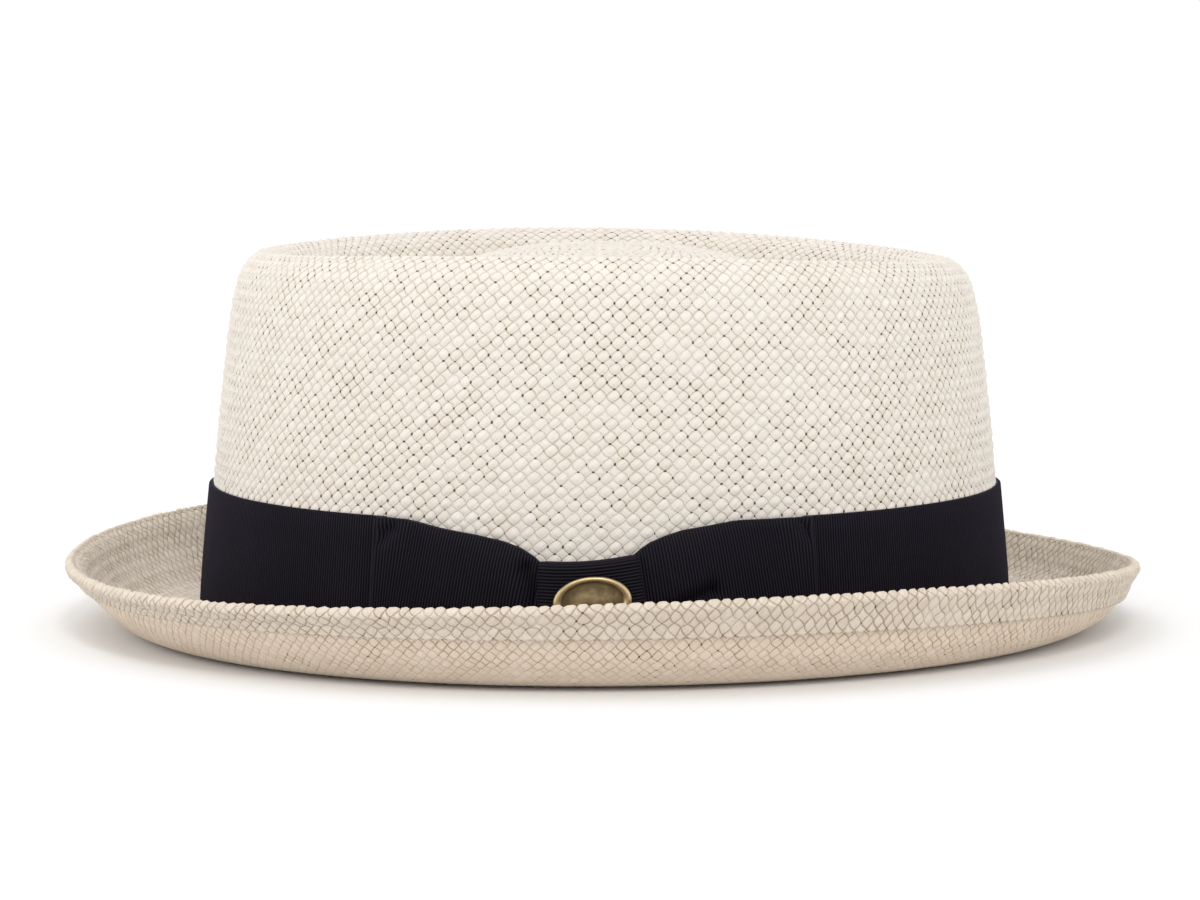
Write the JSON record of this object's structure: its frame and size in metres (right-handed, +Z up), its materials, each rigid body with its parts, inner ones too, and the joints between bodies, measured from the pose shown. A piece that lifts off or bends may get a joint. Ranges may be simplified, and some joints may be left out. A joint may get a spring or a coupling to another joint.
{
  "type": "straw porkpie hat",
  "caption": "Woven straw porkpie hat with a telescoped tip, a narrow upturned brim and a black ribbed ribbon with a flat side bow and a small oval plate.",
  "frame": {"origin": "under the middle of the brim, on the surface that the hat rests on", "axes": "+Z up, X along the hat's length, the bow on the -Y side"},
  "size_m": [0.282, 0.2368, 0.0998],
  "materials": {
    "straw": "woven natural straw, matte with a faint sheen",
    "ribbon": "black ribbed grosgrain ribbon",
    "brass": "aged brass, plain and unmarked"
  },
  "bodies": {
    "root": {"straw_body": "straw", "ribbon_band": "ribbon", "bow_wing_left": "ribbon", "bow_wing_right": "ribbon", "bow_knot": "ribbon", "pin_plate": "brass"}
  },
  "joints": []
}
